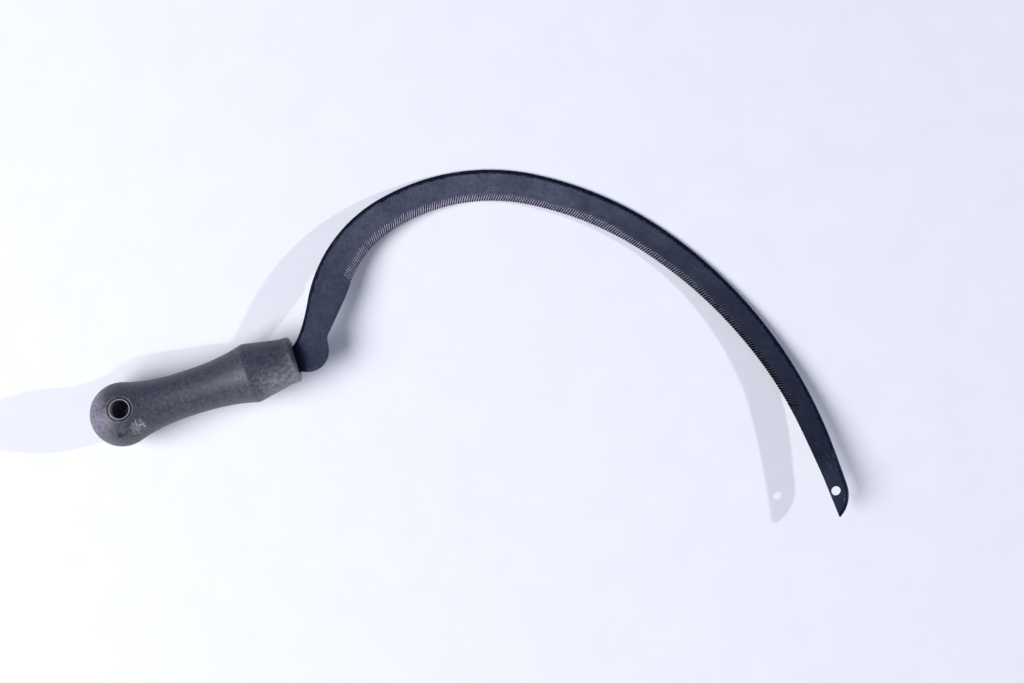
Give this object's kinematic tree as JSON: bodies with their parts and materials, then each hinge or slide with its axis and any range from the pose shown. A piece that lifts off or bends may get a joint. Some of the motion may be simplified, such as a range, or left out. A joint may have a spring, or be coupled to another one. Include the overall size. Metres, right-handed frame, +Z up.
{
  "type": "serrated sickle",
  "caption": "Rigid hand sickle: crescent steel blade with fine teeth on the inner edge, tang set in a round moulded handle with a ball end and hanging hole.",
  "frame": {"origin": "centre of the object's box in plan, at the height of the bench it lies on", "axes": "+X along the handle from its ball end towards the blade, +Z up from the bench, +Y towards the back of the blade's arch"},
  "size_m": [0.384, 0.2476, 0.0349],
  "materials": {
    "blade_steel": "worn blue-black lacquer over stamped steel sheet, satin",
    "handle_plastic": "charcoal moulded plastic with a fine spark-eroded grain, scuffed"
  },
  "bodies": {
    "root": {"blade": "blade_steel", "handle": "handle_plastic"}
  },
  "joints": []
}
